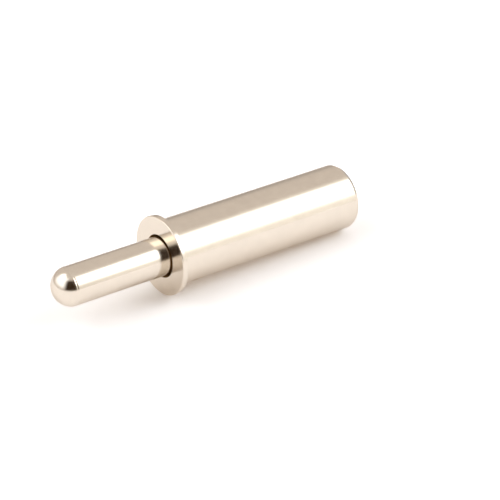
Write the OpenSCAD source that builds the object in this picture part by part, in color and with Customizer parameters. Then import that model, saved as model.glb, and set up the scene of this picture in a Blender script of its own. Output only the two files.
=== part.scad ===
// Spring-loaded guide pin: a flanged sleeve that is pressed into a plate, with a round-nosed
// plunger that a coil spring holds out of its mouth. All sizes are in millimetres. The axis is Z,
// the nose points up, and Z = 0 is the underside of the flange, which seats on the plate.

/* [Sleeve] */
// Outside diameter of the sleeve's body, which is pressed into the plate
sleeve_d = 8; // [7.2:0.1:9.2]
// Length of the whole sleeve, flange and all
sleeve_len = 26.6; // [18:0.1:40]
// Diameter of the flange
flange_d = 9.6; // [8.4:0.1:14]
// Thickness of the flange
flange_t = 0.7; // [0.4:0.05:2]
// Radial gap between the mouth and the plunger's shank
mouth_clearance = 0.25; // [0.1:0.05:0.6]
// Length of the narrow mouth, from the flange's face to the shoulder inside
mouth_len = 3.5; // [1.5:0.1:6]
// Diameter of the bore behind the shoulder, which guides the plunger's collar
bore_d = 6.5; // [5.8:0.05:7.4]
// Broken edge round the flange and the mouth
edge_break = 0.1; // [0.02:0.01:0.18]
// Length of the lead-in taper at the sleeve's rear end
lead_len = 0.4; // [0.1:0.05:1]
// How deep that taper cuts into the sleeve, as a radius
lead_depth = 0.2; // [0.05:0.05:0.35]

/* [Plunger] */
// Diameter of the ground shank
shank_d = 4.7; // [4:0.05:5.5]
// How far the nose stands out of the flange's face at rest
nose_reach = 14.5; // [8:0.1:25]
// How much larger the ball nose's radius is than the shank's, which leaves a faint ring between them
nose_swell = 0.05; // [0.01:0.01:1]
// Length of the collar that runs in the bore
collar_len = 4; // [2:0.1:7]
// Radial running clearance between the collar and the bore
collar_clearance = 0.05; // [0.01:0.01:0.1]
// Chamfer on both ends of the collar
collar_chamfer = 0.2; // [0.05:0.05:0.3]
// Depth of the grinding relief between the collar and the shank
relief_depth = 0.25; // [0.05:0.05:0.4]
// How far under the flange's face the relief ends
relief_inset = 0.1; // [0.05:0.05:0.6]

/* [Spring] */
// Diameter of the spring's wire
wire_d = 0.6; // [0.3:0.05:0.7]
// Radial gap between the coils and the bore
coil_bore_gap = 0.35; // [0.1:0.05:0.5]
// Turns that work, between the two closed end turns
active_turns = 8; // [4:1:10]
// Gap between a closed end turn and the next one
closed_gap = 0.05; // [0.03:0.01:0.2]

/* [Spring seats] */
// Radial gap between a spigot and the coils round it
spigot_gap = 0.2; // [0.1:0.05:0.5]
// Length of the spigot on the plunger
plunger_spigot_len = 2.5; // [1:0.1:4]
// Length of the spigot on the end plug
plug_spigot_len = 1.5; // [0.8:0.1:4]
// Chamfer on the tip of a spigot
spigot_chamfer = 0.3; // [0.1:0.05:0.6]

/* [End plug] */
// Length of the plug that closes the bore
plug_len = 3; // [1.5:0.1:6]
// Radial interference of the plug in the bore
plug_press = 0.01; // [0.005:0.005:0.02]
// Chamfer on both ends of the plug
plug_chamfer = 0.25; // [0.05:0.05:0.4]

/* [Hidden] */
$fn = 96;

nickel = [0.82, 0.76, 0.68];
bright_nickel = [0.86, 0.80, 0.72];
spring_steel = [0.55, 0.55, 0.57];
plug_nickel = [0.74, 0.69, 0.62];

sleeve_r = sleeve_d / 2;
flange_r = flange_d / 2;
shank_r = shank_d / 2;
mouth_r = shank_r + mouth_clearance;
bore_r = bore_d / 2;
rear_z = flange_t - sleeve_len;
shoulder_z = flange_t - mouth_len;

collar_r = bore_r - collar_clearance;
collar_rear_z = shoulder_z - collar_len;
relief_top_z = flange_t - relief_inset;
nose_r = shank_r + nose_swell;
nose_tip_z = flange_t + nose_reach;
nose_centre_z = nose_tip_z - nose_r;
nose_base_z = nose_centre_z + sqrt(nose_r * nose_r - shank_r * shank_r);

plug_r = bore_r + plug_press;
plug_seat_z = rear_z + plug_len;

wire_r = wire_d / 2;
coil_r = bore_r - coil_bore_gap - wire_r;
spigot_r = coil_r - wire_r - spigot_gap;
spring_len = collar_rear_z - plug_seat_z;
closed_pitch = wire_d + closed_gap;
active_pitch = (spring_len - 2 * closed_pitch) / active_turns;
total_turns = active_turns + 2;
rings_per_turn = 24;
wire_sides = 8;

// A turned cylinder with a chamfer at each end, standing on Z = 0
module turned_bar(r, h, chamfer) {
  rotate_extrude()
    polygon([
      [0, 0], [r - chamfer, 0], [r, chamfer],
      [r, h - chamfer], [r - chamfer, h], [0, h]
    ]);
}

// A spring spigot, chamfered at its free end, standing on Z = 0
module spigot(h) {
  rotate_extrude()
    polygon([
      [0, 0], [spigot_r, 0], [spigot_r, h - spigot_chamfer],
      [spigot_r - spigot_chamfer, h], [0, h]
    ]);
}

// Flanged sleeve, turned in one piece and bored from the rear up to its shoulder
module sleeve() {
  color(nickel)
    rotate_extrude()
      polygon([
        [sleeve_r, 0],
        [flange_r - edge_break, 0], [flange_r, edge_break],
        [flange_r, flange_t - edge_break], [flange_r - edge_break, flange_t],
        [mouth_r + edge_break, flange_t], [mouth_r, flange_t - edge_break],
        [mouth_r, shoulder_z], [bore_r, shoulder_z],
        [bore_r, rear_z],
        [sleeve_r - lead_depth, rear_z], [sleeve_r, rear_z + lead_len]
      ]);
}

// Ball nose, cut off where it is as wide as the shank
module nose() {
  intersection() {
    translate([0, 0, nose_centre_z])
      sphere(r = nose_r);
    translate([0, 0, nose_base_z])
      cylinder(r = nose_r + 1, h = nose_r + 1);
  }
}

// Plunger, turned in one piece: nose, ground shank, relief, guide collar and spring spigot
module plunger() {
  color(bright_nickel)
    union() {
      nose();
      translate([0, 0, relief_top_z])
        cylinder(r = shank_r, h = nose_base_z - relief_top_z);
      translate([0, 0, shoulder_z - collar_chamfer])
        cylinder(r = shank_r - relief_depth, h = relief_top_z - shoulder_z + collar_chamfer);
      translate([0, 0, collar_rear_z])
        turned_bar(collar_r, collar_len, collar_chamfer);
      translate([0, 0, collar_rear_z])
        mirror([0, 0, 1])
          spigot(plunger_spigot_len);
    }
}

// Height of the wire's centre after a number of turns: one closed turn at each end
function wire_height(turn) =
  turn < 1 ? turn * closed_pitch :
  turn > total_turns - 1 ? spring_len - (total_turns - turn) * closed_pitch :
  closed_pitch + (turn - 1) * active_pitch;

// A point on the wire's skin. What reaches past an end is ground flat.
function wire_point(turn, side) =
  let (
    around = 360 * side / wire_sides,
    reach = coil_r + wire_r * cos(around),
    height = wire_height(turn) + wire_r * sin(around)
  )
  [reach * cos(360 * turn), reach * sin(360 * turn), min(max(height, 0), spring_len)];

// Compression spring with closed and ground ends, wound right-handed
module spring() {
  ring_count = total_turns * rings_per_turn + 1;
  points = [
    for (ring = [0 : ring_count - 1], side = [0 : wire_sides - 1])
      wire_point(ring / rings_per_turn, side)
  ];
  skin = [
    for (ring = [0 : ring_count - 2], side = [0 : wire_sides - 1])
      let (
        next = (side + 1) % wire_sides,
        a = ring * wire_sides + side,
        b = ring * wire_sides + next,
        c = a + wire_sides,
        d = b + wire_sides
      )
      each [[a, b, d], [a, d, c]]
  ];
  first_ring = 0;
  last_ring = (ring_count - 1) * wire_sides;
  cut_centres = [[coil_r, 0, wire_r / 2], [coil_r, 0, spring_len - wire_r / 2]];
  cuts = [
    for (side = [0 : wire_sides - 1])
      let (next = (side + 1) % wire_sides)
      each [
        [len(points), first_ring + next, first_ring + side],
        [len(points) + 1, last_ring + side, last_ring + next]
      ]
  ];
  color(spring_steel)
    translate([0, 0, plug_seat_z])
      polyhedron(points = concat(points, cut_centres), faces = concat(skin, cuts), convexity = 10);
}

// Plug that is pressed into the bore flush with the rear end, with a spigot for the spring
module end_plug() {
  color(plug_nickel)
    union() {
      translate([0, 0, rear_z])
        turned_bar(plug_r, plug_len, plug_chamfer);
      translate([0, 0, plug_seat_z])
        spigot(plug_spigot_len);
    }
}

sleeve();
plunger();
spring();
end_plug();
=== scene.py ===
import math

import bpy
from mathutils import Matrix, Vector


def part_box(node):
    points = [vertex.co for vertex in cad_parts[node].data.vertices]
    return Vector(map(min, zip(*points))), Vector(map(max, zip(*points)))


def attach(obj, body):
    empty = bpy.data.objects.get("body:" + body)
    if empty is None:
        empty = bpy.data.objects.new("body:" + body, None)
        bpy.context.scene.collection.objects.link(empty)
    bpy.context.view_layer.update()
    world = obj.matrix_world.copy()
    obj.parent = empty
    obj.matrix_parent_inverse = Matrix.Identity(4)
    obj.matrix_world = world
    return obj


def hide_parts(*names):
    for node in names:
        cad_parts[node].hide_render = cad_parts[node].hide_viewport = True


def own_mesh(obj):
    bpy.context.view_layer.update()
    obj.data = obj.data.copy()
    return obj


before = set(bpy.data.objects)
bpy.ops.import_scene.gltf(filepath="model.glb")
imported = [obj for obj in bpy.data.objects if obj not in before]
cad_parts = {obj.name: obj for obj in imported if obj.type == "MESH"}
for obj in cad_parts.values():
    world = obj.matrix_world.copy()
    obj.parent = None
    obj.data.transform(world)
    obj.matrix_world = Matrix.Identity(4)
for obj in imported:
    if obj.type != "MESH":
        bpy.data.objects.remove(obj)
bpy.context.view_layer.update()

scene = bpy.context.scene
scene.view_settings.view_transform = "Standard"

# The photographer's camera
# A long lens looks down at the pin, which lies on a white surface with its nose to the left and
# towards the lens. Lens directions are right, down and forward, worked out from the pin's own edges.
mm = 0.001
photo_width_px = 500
focal_length_px = 2224.6
sensor_width_mm = 36.0
lens_look_down = math.radians(30.0)
flange_face_from_lens = Vector((-10.451, 0.701, 257.22)) * mm
nose_from_lens = Vector((-0.7997, 0.2743, -0.5341)).normalized()
floor_up_from_lens = Vector((0, -math.cos(lens_look_down), -math.sin(lens_look_down)))

sleeve_low, sleeve_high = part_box("sleeve")
flange_face_z = sleeve_high.z
rear_z = sleeve_low.z

lens_to_pin_y = -(floor_up_from_lens - nose_from_lens * floor_up_from_lens.dot(nose_from_lens)).normalized()
lens_to_pin_x = lens_to_pin_y.cross(nose_from_lens)
lens_to_pin = Matrix((lens_to_pin_x, lens_to_pin_y, nose_from_lens))
lens_right = lens_to_pin @ Vector((1, 0, 0))
lens_up = lens_to_pin @ Vector((0, -1, 0))
lens_back = lens_to_pin @ Vector((0, 0, -1))

lens_data = bpy.data.cameras.new("photo_lens")
lens_data.sensor_width = sensor_width_mm
lens_data.lens = focal_length_px / photo_width_px * sensor_width_mm
lens_data.clip_start = 10 * mm
lens_data.clip_end = 10.0
camera = bpy.data.objects.new("photo_camera", lens_data)
camera.matrix_world = Matrix.Translation(
    Vector((0, 0, flange_face_z)) - lens_to_pin @ flange_face_from_lens
) @ Matrix((lens_right, lens_up, lens_back)).transposed().to_4x4()
scene.collection.objects.link(camera)
scene.camera = camera

# The white surface
# A wide sheet of white board that the pin lies on: it touches the flange's rim and the sleeve's
# rear edge. It can be seen only from the pin's side, so that it never hides the pin from behind.
flange_r = sleeve_high.x
sleeve_r = 4.0 * mm
rim_round = 0.1 * mm
lead_depth = 0.2 * mm
lead_len = 0.4 * mm
sheet_half_width = 900 * mm
board_white = (0.9, 0.9, 0.9, 1)
board_seen = (1.0, 1.035, 1.09, 1)
# Painted shade: the grey the metal sees, in its reflections only, where the board lies far behind the pin.
far_board_painted_shade = (0.43, 0.43, 0.43, 1)
# Painted light: a warm glow on the board, seen by the lens and the metal, which lifts and warms its shadows
# in place of light thrown back by the nickel; the metal sees it stronger.
painted_warm_glow = (0.09, 0.06, 0.034, 1)
painted_glow_extra_in_metal = 0.7

rear_touch = Vector((0, sleeve_r, rear_z + lead_len))
rim_touch = Vector((0, flange_r, rim_round))
along_sheet = (rim_touch - rear_touch).normalized()
sheet_up = Vector((1, 0, 0)).cross(along_sheet)
if sheet_up.y > 0:
    sheet_up = -sheet_up
away = (-lens_back + sheet_up * lens_back.dot(sheet_up)).normalized()
far_from = 30 * mm
far_to = 75 * mm


def white_board_material():
    """Matt white, which the lens and the metal that mirrors it see brighter than white. Far behind the pin
    the metal sees it grey, a painted shade in its reflection only, and a warm glow painted on it for the
    lens and the metal lifts its shadows, stronger in the metal's reflection.
    """
    material = bpy.data.materials.new("white_board")
    material.use_nodes = True
    nodes, links = material.node_tree.nodes, material.node_tree.links
    nodes.clear()
    output = nodes.new("ShaderNodeOutputMaterial")
    ray = nodes.new("ShaderNodeLightPath")
    mirrored = nodes.new("ShaderNodeMath")
    mirrored.operation = "MAXIMUM"
    links.new(ray.outputs["Is Glossy Ray"], mirrored.inputs[0])
    links.new(ray.outputs["Is Transmission Ray"], mirrored.inputs[1])
    seen = nodes.new("ShaderNodeMath")
    seen.operation = "MAXIMUM"
    links.new(ray.outputs["Is Camera Ray"], seen.inputs[0])
    links.new(mirrored.outputs[0], seen.inputs[1])
    white = nodes.new("ShaderNodeMix")
    white.data_type = "RGBA"
    links.new(seen.outputs[0], white.inputs["Factor"])
    white.inputs["A"].default_value = board_white
    place = nodes.new("ShaderNodeTexCoord")
    behind = nodes.new("ShaderNodeVectorMath")
    behind.operation = "DOT_PRODUCT"
    links.new(place.outputs["Object"], behind.inputs[0])
    behind.inputs[1].default_value = away
    far = nodes.new("ShaderNodeMapRange")
    far.interpolation_type = "SMOOTHSTEP"
    far.inputs["From Min"].default_value = far_from + rim_touch.dot(away)
    far.inputs["From Max"].default_value = far_to + rim_touch.dot(away)
    links.new(behind.outputs["Value"], far.inputs["Value"])
    # Painted shade in the reflection: far behind the pin, glossy rays see the board grey.
    far_mirrored = nodes.new("ShaderNodeMath")
    far_mirrored.operation = "MULTIPLY"
    links.new(far.outputs["Result"], far_mirrored.inputs[0])
    links.new(mirrored.outputs[0], far_mirrored.inputs[1])
    shaded = nodes.new("ShaderNodeMix")
    shaded.data_type = "RGBA"
    links.new(far_mirrored.outputs[0], shaded.inputs["Factor"])
    shaded.inputs["A"].default_value = board_seen
    shaded.inputs["B"].default_value = far_board_painted_shade
    links.new(shaded.outputs["Result"], white.inputs["B"])
    matt = nodes.new("ShaderNodeBsdfDiffuse")
    links.new(white.outputs["Result"], matt.inputs["Color"])
    # Painted light: the board glows warm for the lens and, more strongly, for the metal's reflections.
    glow = nodes.new("ShaderNodeEmission")
    glow.inputs["Color"].default_value = painted_warm_glow
    glow_strength = nodes.new("ShaderNodeMath")
    glow_strength.operation = "MULTIPLY_ADD"
    links.new(mirrored.outputs[0], glow_strength.inputs[0])
    glow_strength.inputs[1].default_value = painted_glow_extra_in_metal
    links.new(seen.outputs[0], glow_strength.inputs[2])
    links.new(glow_strength.outputs[0], glow.inputs["Strength"])
    lit = nodes.new("ShaderNodeAddShader")
    links.new(matt.outputs["BSDF"], lit.inputs[0])
    links.new(glow.outputs["Emission"], lit.inputs[1])
    clear = nodes.new("ShaderNodeBsdfTransparent")
    side = nodes.new("ShaderNodeNewGeometry")
    choose = nodes.new("ShaderNodeMixShader")
    links.new(side.outputs["Backfacing"], choose.inputs["Fac"])
    links.new(lit.outputs["Shader"], choose.inputs[1])
    links.new(clear.outputs["BSDF"], choose.inputs[2])
    links.new(choose.outputs["Shader"], output.inputs["Surface"])
    material.cycles.emission_sampling = "NONE"
    return material


def white_board():
    across = Vector((1, 0, 0))
    corners = [
        rim_touch + sheet_half_width * (across * x + along_sheet * y)
        for x, y in ((-1, -1), (1, -1), (1, 1), (-1, 1))
    ]
    mesh = bpy.data.meshes.new("white_board")
    mesh.from_pydata(corners, [], [(0, 1, 2, 3)])
    if mesh.polygons[0].normal.dot(sheet_up) < 0:
        mesh.flip_normals()
    mesh.materials.append(white_board_material())
    board = bpy.data.objects.new("white_board", mesh)
    scene.collection.objects.link(board)
    return board


white_board()

# The light tent
# A dome of grey cloth over the board, with a bright soft panel on each side of the lens and a dark
# opening round it. Beyond the tent is plain white. Places on the cloth are given by azimuth,
# 0 towards the lens and plus to its right, and by elevation over the board, in degrees.
tent_r = 800 * mm
tent_cloth = (0.84, 0.76, 0.695, 1)
tent_roof = (0.84, 0.76, 0.695, 1)
tent_foot = (0.6, 0.56, 0.52, 1)
panel_edge = (1.34, 1.28, 1.18, 1)
panel_soft = (1.85, 1.85, 1.85, 1)
panel_high = (2.9, 2.85, 2.7, 1)
panel_white = (3.9, 3.9, 3.9, 1)
panel_behind = (1.0, 1.0, 1.0, 1)
panel_roof = (1.2, 1.15, 1.1, 1)
tent_side = (0.6, 0.6, 0.62, 1)
opening_dark = (0.045, 0.025, 0.012, 1)
opening_side = (0.22, 0.18, 0.14, 1)
tent_steps_around = 72
tent_steps_up = 24

surroundings = bpy.data.worlds.new("plain_white")
scene.world = surroundings
surroundings.use_nodes = True
surroundings.node_tree.nodes["Background"].inputs["Color"].default_value = (1, 1, 1, 1)
surroundings.node_tree.nodes["Background"].inputs["Strength"].default_value = 1.0


def tent_material():
    material = bpy.data.materials.new("tent_cloth")
    material.use_nodes = True
    nodes, links = material.node_tree.nodes, material.node_tree.links
    nodes.clear()

    def sum_of(operation, *values):
        node = nodes.new("ShaderNodeMath")
        node.operation = operation
        for socket, value in zip(node.inputs, values):
            if isinstance(value, (int, float)):
                socket.default_value = value
            else:
                links.new(value, socket)
        return node.outputs[0]

    def past(angle, edge, blur):
        node = nodes.new("ShaderNodeMapRange")
        node.interpolation_type = "SMOOTHSTEP"
        links.new(angle, node.inputs["Value"])
        node.inputs["From Min"].default_value = math.radians(edge - blur)
        node.inputs["From Max"].default_value = math.radians(edge + blur)
        return node.outputs["Result"]

    def patch(left, right, bottom, top):
        """1 inside a patch of the cloth, 0 outside it. Each edge is (degrees, half its blur)."""
        across = sum_of("MULTIPLY", past(azimuth, *left), sum_of("SUBTRACT", 1, past(azimuth, *right)))
        upwards = sum_of("MULTIPLY", past(elevation, *bottom), sum_of("SUBTRACT", 1, past(elevation, *top)))
        return sum_of("MULTIPLY", across, upwards)

    def over(below, colour, share):
        node = nodes.new("ShaderNodeMix")
        node.data_type = "RGBA"
        links.new(share, node.inputs["Factor"])
        if isinstance(below, tuple):
            node.inputs["A"].default_value = below
        else:
            links.new(below, node.inputs["A"])
        node.inputs["B"].default_value = colour
        return node.outputs["Result"]

    place = nodes.new("ShaderNodeVectorMath")
    place.operation = "NORMALIZE"
    links.new(nodes.new("ShaderNodeTexCoord").outputs["Object"], place.inputs[0])
    split = nodes.new("ShaderNodeSeparateXYZ")
    links.new(place.outputs["Vector"], split.inputs["Vector"])
    to_lens = sum_of("MULTIPLY", split.outputs["Y"], -1)
    azimuth = sum_of("ARCTAN2", split.outputs["X"], to_lens)
    elevation = sum_of("ARCSINE", split.outputs["Z"])

    cloth = over(tent_cloth, tent_roof, past(elevation, 68, 5))
    from_lens = sum_of("ABSOLUTE", azimuth)
    low_behind = sum_of("MULTIPLY", past(from_lens, 162, 8), sum_of("SUBTRACT", 1, past(elevation, 12, 10)))
    cloth = over(cloth, tent_foot, low_behind)
    cloth = over(cloth, panel_behind, patch((104, 8), (152, 8), (17, 4), (36, 6)))
    cloth = over(cloth, panel_roof, patch((62, 8), (162, 8), (67, 4), (82, 4)))
    cloth = over(cloth, tent_side, patch((116, 8), (160, 8), (-1, 1), (11, 4)))
    cloth = over(cloth, panel_edge, patch((64, 4), (122, 12), (0, 3), (55, 5)))
    cloth = over(cloth, panel_white, patch((65, 4), (111, 9), (22, 12), (54, 5)))
    cloth = over(cloth, panel_soft, patch((-112, 14), (-20, 8), (12, 12), (64, 9)))
    cloth = over(cloth, panel_high, patch((-112, 8), (-60, 6), (40, 8), (65, 5)))
    cloth = over(cloth, opening_side, patch((20, 6), (46, 4), (4, 4), (31, 6)))
    cloth = over(cloth, opening_dark, patch((-35, 16), (29, 5), (4, 4), (57, 9)))
    glow = nodes.new("ShaderNodeEmission")
    links.new(cloth, glow.inputs["Color"])
    output = nodes.new("ShaderNodeOutputMaterial")
    links.new(glow.outputs["Emission"], output.inputs["Surface"])
    material.cycles.emission_sampling = "NONE"
    return material


def light_tent():
    vertices, faces = [], []
    for up_step in range(tent_steps_up):
        elevation = math.pi / 2 * up_step / tent_steps_up
        for step in range(tent_steps_around):
            angle = 2 * math.pi * step / tent_steps_around
            ring_r = tent_r * math.cos(elevation)
            vertices.append(
                (ring_r * math.cos(angle), ring_r * math.sin(angle), tent_r * math.sin(elevation))
            )
    top = len(vertices)
    vertices.append((0, 0, tent_r))
    for up_step in range(tent_steps_up):
        for step in range(tent_steps_around):
            a = up_step * tent_steps_around + step
            b = up_step * tent_steps_around + (step + 1) % tent_steps_around
            if up_step < tent_steps_up - 1:
                faces.append((a, b, b + tent_steps_around, a + tent_steps_around))
            else:
                faces.append((a, b, top))
    mesh = bpy.data.meshes.new("light_tent")
    mesh.from_pydata(vertices, [], faces)
    mesh.materials.append(tent_material())
    tent = bpy.data.objects.new("light_tent", mesh)
    tent.matrix_world = Matrix.Translation(rim_touch) @ Matrix(
        (away.cross(sheet_up), away, sheet_up)
    ).transposed().to_4x4()
    tent.visible_camera = False
    tent.visible_shadow = False
    scene.collection.objects.link(tent)
    return tent


light_tent()

# Flanged sleeve
# Turned from brass bar in one piece: body, thin flange, mouth and a bore from the rear.
# It is nickel-plated outside, bright but not mirror-like, with faint turning marks. The bore and mouth wall
# are unplated brass, darkened as painted shade.
mouth_r = 2.6 * mm
bore_r = 3.25 * mm
shoulder_z = flange_face_z - 3.5 * mm
mouth_round = 0.05 * mm
rear_round = 0.06 * mm
around_steps = 256
corner_steps = 5
arc_margin = 0.01 * mm
nickel_plate = (0.7, 0.64, 0.56, 1)
# Unplated brass for the bore, darker than bare brass: partly the metal, partly painted shade in the narrow
# gap.
brass_with_painted_bore_shade = (0.48, 0.3, 0.13, 1)
plate_edge_tint = (0.8, 0.78, 0.76, 1)
plate_worn = (0.75, 0.655, 0.53, 1)


def rounded(profile, rounds):
    """The profile's points as (radius, height, wear), with each corner that has a radius turned into
    an arc, where the plating is worn. A point just outside each end of the arc keeps the long
    straight faces next to it true."""
    points = []
    count = len(profile)
    for i, (corner, radius) in enumerate(zip(profile, rounds)):
        here = Vector(corner)
        if not radius:
            points.append((*here, 0))
            continue
        back = (Vector(profile[i - 1]) - here).normalized()
        on = (Vector(profile[(i + 1) % count]) - here).normalized()
        half = math.acos(max(-1, min(1, back.dot(on)))) / 2
        reach = radius / math.tan(half)
        centre = here + (back + on).normalized() * radius / math.sin(half)
        first = here + back * reach - centre
        last = here + on * reach - centre
        turn = first.angle_signed(last)
        points.append((*(here + back * (reach + arc_margin)), 0))
        for step in range(corner_steps + 1):
            angle = -turn * step / corner_steps
            points.append((*(centre + Matrix.Rotation(angle, 2) @ first), 1))
        points.append((*(here + on * (reach + arc_margin)), 0))
    return points


def turned_piece(name, profile, closed, crease=35):
    """A piece turned on the lathe: the profile's (radius, height, wear) points carried round the
    axis. Corners of more than crease degrees stay sharp."""
    vertices, rings, wear = [], [], []
    for radius, height, worn in profile:
        if radius < 1e-9:
            rings.append([len(vertices)])
            vertices.append((0, 0, height))
            wear.append(worn)
            continue
        rings.append(list(range(len(vertices), len(vertices) + around_steps)))
        for step in range(around_steps):
            angle = 2 * math.pi * step / around_steps
            vertices.append((radius * math.cos(angle), radius * math.sin(angle), height))
            wear.append(worn)
    faces = []
    pairs = list(zip(rings, rings[1:] + rings[:1])) if closed else list(zip(rings, rings[1:]))
    for lower, upper in pairs:
        for step in range(around_steps):
            on = (step + 1) % around_steps
            if len(lower) == 1:
                faces.append((lower[0], upper[on], upper[step]))
            elif len(upper) == 1:
                faces.append((lower[step], lower[on], upper[0]))
            else:
                faces.append((lower[step], lower[on], upper[on], upper[step]))
    mesh = bpy.data.meshes.new(name)
    mesh.from_pydata(vertices, [], faces)
    mesh.attributes.new("edge_wear", "FLOAT", "POINT").data.foreach_set("value", wear)
    mesh.shade_smooth()
    mesh.set_sharp_from_angle(angle=math.radians(crease))
    mesh.validate()
    piece = bpy.data.objects.new(name, mesh)
    scene.collection.objects.link(piece)
    return piece


def lathe_rings(nodes, links, place):
    """Noise that is the same all round the axis, as a lathe tool leaves it."""
    split = nodes.new("ShaderNodeSeparateXYZ")
    links.new(place, split.inputs["Vector"])
    flat = nodes.new("ShaderNodeCombineXYZ")
    links.new(split.outputs["X"], flat.inputs["X"])
    links.new(split.outputs["Y"], flat.inputs["Y"])
    radial = nodes.new("ShaderNodeVectorMath")
    radial.operation = "LENGTH"
    links.new(flat.outputs["Vector"], radial.inputs[0])
    rings = nodes.new("ShaderNodeCombineXYZ")
    links.new(radial.outputs["Value"], rings.inputs["X"])
    links.new(split.outputs["Z"], rings.inputs["Z"])
    lathe = nodes.new("ShaderNodeTexNoise")
    lathe.inputs["Scale"].default_value = 9000
    lathe.inputs["Detail"].default_value = 3
    links.new(rings.outputs["Vector"], lathe.inputs["Vector"])
    return lathe.outputs["Fac"]


def plated_material(name, colour, roughness, marks):
    """Bright plating over turned metal. marks is how deep the lathe's rings show, in metres."""
    material = bpy.data.materials.new(name)
    material.use_nodes = True
    nodes, links = material.node_tree.nodes, material.node_tree.links
    shader = nodes["Principled BSDF"]
    shader.inputs["Metallic"].default_value = 1.0
    shader.inputs["Specular Tint"].default_value = plate_edge_tint
    place = nodes.new("ShaderNodeTexCoord").outputs["Object"]
    rings = lathe_rings(nodes, links, place)
    bump = nodes.new("ShaderNodeBump")
    bump.inputs["Distance"].default_value = marks
    bump.inputs["Strength"].default_value = 1.0
    links.new(rings, bump.inputs["Height"])
    links.new(bump.outputs["Normal"], shader.inputs["Normal"])

    def blend_of(share, below, above, lowest=0.0, highest=1.0):
        """A mix of two colours by a share that runs between lowest and highest."""
        ramp = nodes.new("ShaderNodeMapRange")
        ramp.inputs["From Min"].default_value = lowest
        ramp.inputs["From Max"].default_value = highest
        links.new(share, ramp.inputs["Value"])
        mix = nodes.new("ShaderNodeMix")
        mix.data_type = "RGBA"
        links.new(ramp.outputs["Result"], mix.inputs["Factor"])
        for socket, value in (("A", below), ("B", above)):
            if isinstance(value, tuple):
                mix.inputs[socket].default_value = value
            else:
                links.new(value, mix.inputs[socket])
        return mix.outputs["Result"]

    def shade(share):
        return tuple(share * part for part in colour[:3]) + (1,)

    cloud = nodes.new("ShaderNodeTexNoise")
    cloud.inputs["Scale"].default_value = 700
    cloud.inputs["Detail"].default_value = 6
    links.new(place, cloud.inputs["Vector"])
    plating = blend_of(cloud.outputs["Fac"], shade(0.975), shade(1.025), 0.3, 0.7)
    ringed = blend_of(rings, plating, shade(0.93), 0.55, 0.95)
    worn = nodes.new("ShaderNodeAttribute")
    worn.attribute_name = "edge_wear"
    patchy = nodes.new("ShaderNodeMath")
    patchy.operation = "MULTIPLY"
    links.new(worn.outputs["Fac"], patchy.inputs[0])
    links.new(cloud.outputs["Fac"], patchy.inputs[1])
    links.new(blend_of(patchy.outputs[0], ringed, plate_worn, 0.35, 1.1), shader.inputs["Base Color"])
    gloss = nodes.new("ShaderNodeMapRange")
    gloss.inputs["To Min"].default_value = roughness * 0.85
    gloss.inputs["To Max"].default_value = roughness * 1.2
    links.new(cloud.outputs["Fac"], gloss.inputs["Value"])
    links.new(gloss.outputs["Result"], shader.inputs["Roughness"])
    return material


sleeve_profile = rounded(
    [
        (mouth_r, shoulder_z),
        (bore_r, shoulder_z),
        (bore_r, rear_z),
        (sleeve_r - lead_depth, rear_z),
        (sleeve_r, rear_z + lead_len),
        (sleeve_r, 0),
        (flange_r, 0),
        (flange_r, flange_face_z),
        (mouth_r, flange_face_z),
    ],
    [0, 0, 0, rear_round, rear_round, 0, rim_round, rim_round, mouth_round],
)
sleeve = turned_piece("flanged_sleeve", sleeve_profile, closed=True)
sleeve.data.materials.append(plated_material("sleeve_nickel", nickel_plate, 0.17, 0.0000004))
# The bore and mouth wall get unplated brass, darkened in part as painted shade of the gap.
sleeve.data.materials.append(plated_material("bore_brass_with_painted_shade", brass_with_painted_bore_shade, 0.9, 0.0000015))
for face in sleeve.data.polygons:
    inside = face.center.xy.length < bore_r + 0.01 * mm and face.center.z < flange_face_z - mouth_round
    if inside and face.center.z > rear_z:
        face.material_index = 1
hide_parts("sleeve")
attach(sleeve, "housing")

# End plug
# Turned brass plug with a spigot, pressed into the rear of the sleeve to hold the spring in.
# It sits flush with the rear end and has the same plating.
plug_low, plug_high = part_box("end_plug")
plug_r = plug_high.x
plug_seat_z = rear_z + 3.0 * mm
plug_chamfer = 0.25 * mm
spigot_r = 2.1 * mm
spigot_chamfer = 0.3 * mm
edge_round = 0.04 * mm
plug_profile = rounded(
    [
        (0, plug_low.z),
        (plug_r - plug_chamfer, plug_low.z),
        (plug_r, plug_low.z + plug_chamfer),
        (plug_r, plug_seat_z - plug_chamfer),
        (plug_r - plug_chamfer, plug_seat_z),
        (spigot_r, plug_seat_z),
        (spigot_r, plug_high.z - spigot_chamfer),
        (spigot_r - spigot_chamfer, plug_high.z),
        (0, plug_high.z),
    ],
    [0, edge_round, edge_round, edge_round, edge_round, 0, edge_round, edge_round, 0],
)
end_plug = turned_piece("pressed_end_plug", plug_profile, closed=False)
end_plug.data.materials.append(plated_material("plug_nickel", nickel_plate, 0.14, 0.0000006))
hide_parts("end_plug")
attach(end_plug, "housing")

# Compression spring
# Drawn spring steel wire with closed, ground ends, between the plug and the plunger's collar.
# It is attached to the housing at its full length.
spring_low, spring_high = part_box("spring")
seat_gap = 0.005 * mm
spring_len = spring_high.z - spring_low.z
wire_r = 0.3 * mm
coil_r = spring_high.x - wire_r
closed_pitch = 0.65 * mm
working_turns = 8
total_turns = working_turns + 2
working_pitch = (spring_len - 2 * closed_pitch) / working_turns
wire_rings_per_turn = 40
wire_sides = 12


def wire_height(turn):
    if turn < 1:
        return turn * closed_pitch
    if turn > total_turns - 1:
        return spring_len - (total_turns - turn) * closed_pitch
    return closed_pitch + (turn - 1) * working_pitch


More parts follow.
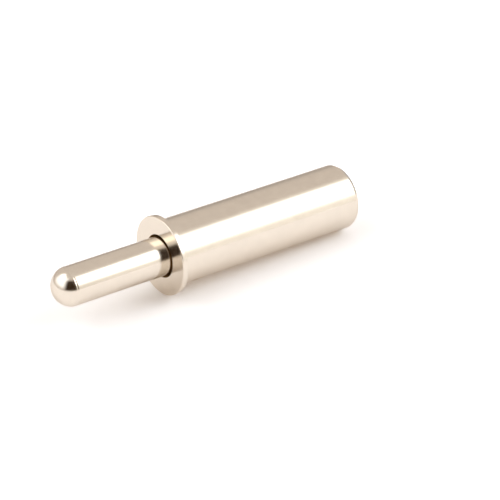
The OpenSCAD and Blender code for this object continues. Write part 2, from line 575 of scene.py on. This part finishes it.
def spring_mesh():
    vertices = []
    last = total_turns * wire_rings_per_turn
    for ring in range(last + 1):
        turn = ring / wire_rings_per_turn
        angle = 2 * math.pi * turn
        for side in range(wire_sides):
            around = 2 * math.pi * side / wire_sides
            reach = coil_r + wire_r * math.cos(around)
            height = wire_height(turn) + wire_r * math.sin(around)
            height = min(max(height, 0), spring_len - seat_gap) + spring_low.z
            vertices.append((reach * math.cos(angle), reach * math.sin(angle), height))
    faces = []
    for ring in range(last):
        for side in range(wire_sides):
            on = (side + 1) % wire_sides
            a, b = ring * wire_sides + side, ring * wire_sides + on
            faces.append((a, b, b + wire_sides, a + wire_sides))
    faces.append(list(range(wire_sides))[::-1])
    faces.append([last * wire_sides + side for side in range(wire_sides)])
    mesh = bpy.data.meshes.new("compression_spring")
    mesh.from_pydata(vertices, [], faces)
    mesh.shade_smooth()
    mesh.set_sharp_from_angle(angle=math.radians(40))
    return mesh


spring = bpy.data.objects.new("compression_spring", spring_mesh())
scene.collection.objects.link(spring)
spring.data.materials.append(plated_material("spring_wire", (0.52, 0.52, 0.53, 1), 0.25, 0.0000005))
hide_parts("spring")
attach(spring, "housing")
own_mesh(spring)

# Plunger
# Turned and ground from steel bar in one piece: ball nose, shank, relief, collar and spigot.
# The nose is polished. Grinding the shank left a narrow ring where the two meet.
plunger_low, plunger_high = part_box("plunger")
shank_r = 2.35 * mm
nose_r = 2.4 * mm
collar_r = plunger_high.x
collar_chamfer = 0.2 * mm
relief_r = shank_r - 0.25 * mm
relief_top_z = flange_face_z - 0.1 * mm
collar_rear_z = shoulder_z - 4.0 * mm
nose_centre_z = plunger_high.z - nose_r
nose_steps = 48
ring_depth = 0.035 * mm
ring_width = 0.11 * mm
ring_slope = 0.14 * mm
ring_r = shank_r - ring_depth


def nose_arc():
    """Points up the ball nose, from where it is as wide as the ring to its tip."""
    start = math.acos(ring_r / nose_r)
    return [
        (
            nose_r * math.cos(start + (math.pi / 2 - start) * step / nose_steps),
            nose_centre_z + nose_r * math.sin(start + (math.pi / 2 - start) * step / nose_steps),
            0,
        )
        for step in range(nose_steps)
    ] + [(0, plunger_high.z, 0)]


ring_top_z = nose_arc()[0][1]
plunger_profile = rounded(
    [
        (0, plunger_low.z),
        (spigot_r - spigot_chamfer, plunger_low.z),
        (spigot_r, plunger_low.z + spigot_chamfer),
        (spigot_r, collar_rear_z),
        (collar_r - collar_chamfer, collar_rear_z),
        (collar_r, collar_rear_z + collar_chamfer),
        (collar_r, shoulder_z - collar_chamfer),
        (collar_r - collar_chamfer, shoulder_z),
        (relief_r, shoulder_z),
        (relief_r, relief_top_z),
        (shank_r, relief_top_z),
        (shank_r, ring_top_z - ring_width - ring_slope),
        (ring_r, ring_top_z - ring_width),
        (ring_r, ring_top_z),
    ],
    [0, edge_round, edge_round, 0] + [edge_round] * 4 + [0, 0, edge_round, 0, 0, 0],
) + nose_arc()[1:]
plunger = turned_piece("ball_nose_plunger", plunger_profile, closed=False, crease=6)
plunger.data.materials.append(plated_material("plunger_nickel", nickel_plate, 0.15, 0.0000003))
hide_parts("plunger")
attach(plunger, "nose")
